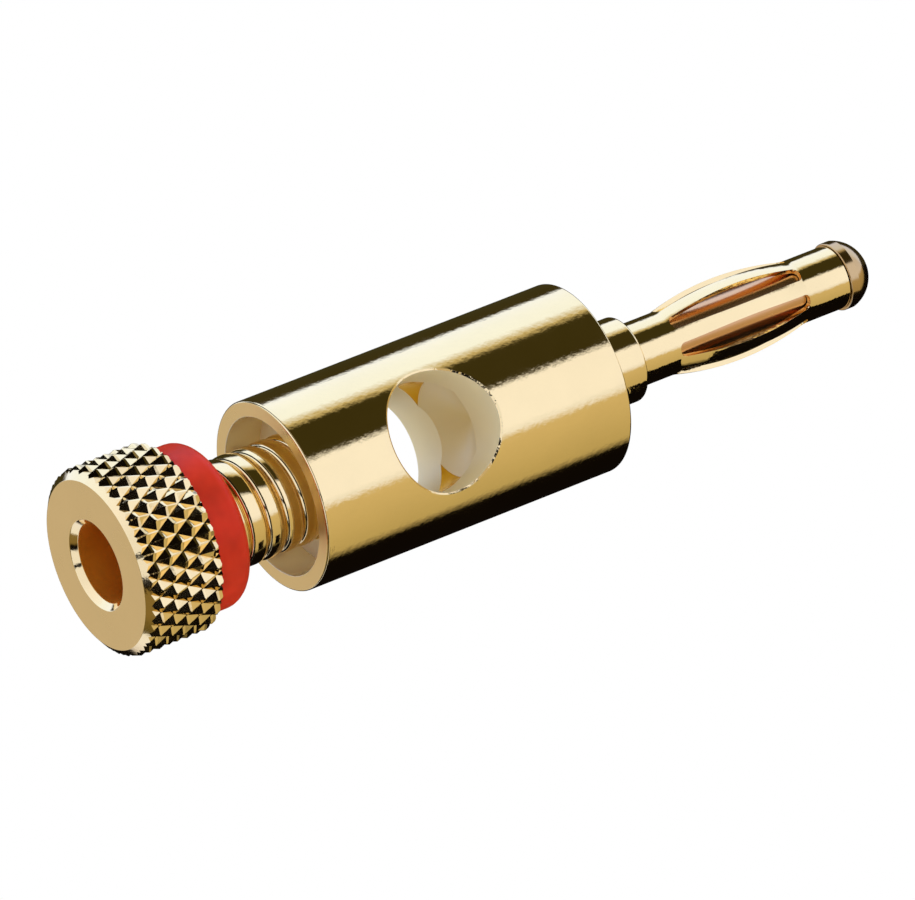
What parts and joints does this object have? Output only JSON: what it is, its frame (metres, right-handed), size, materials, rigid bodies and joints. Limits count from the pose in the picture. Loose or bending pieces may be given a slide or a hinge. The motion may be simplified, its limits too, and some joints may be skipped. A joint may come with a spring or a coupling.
{
  "type": "banana plug",
  "caption": "Gold-plated banana plug: lantern spring pin, barrel with a cross hole for the wire and a knurled clamping screw with a red ring.",
  "frame": {"origin": "centre of the knob's flat rear face, on which the plug stands", "axes": "+Z along the plug's axis from the knob to the pin's tip, Y along the cross hole, X to its right"},
  "size_m": [0.012, 0.012, 0.0557],
  "materials": {
    "gold_barrel": "polished gold plate",
    "gold_pin": "polished gold plate",
    "gold_spring": "polished gold plate",
    "gold_screw": "gold plate, knurled",
    "red_ring": "red moulded plastic"
  },
  "bodies": {
    "barrel": {"barrel": "gold_barrel", "contact_pin": "gold_pin"},
    "spring": {"lantern_spring": "gold_spring"},
    "ring": {"colour_ring": "red_ring"},
    "screw": {"clamping_screw": "gold_screw"}
  },
  "joints": [
    {"name": "screw_travel", "type": "slide", "parent": "barrel", "child": "ring", "axis": [0, 0, 1], "range_m": [-0.00126, 0.00488]},
    {"name": "screw_turn", "type": "hinge", "parent": "ring", "child": "screw", "pos_m": [0, 0, 0], "axis": [0, 0, 1], "range_deg": [-360, 1404]},
    {"name": "lantern_spin", "type": "hinge", "parent": "barrel", "child": "spring", "pos_m": [0, 0, 0.03808], "axis": [0, 0, 1], "continuous": true}
  ],
  "couplings": [
    {"joint": "screw_travel", "follows": "screw_turn", "m_per_rad": 0.00019894}
  ]
}
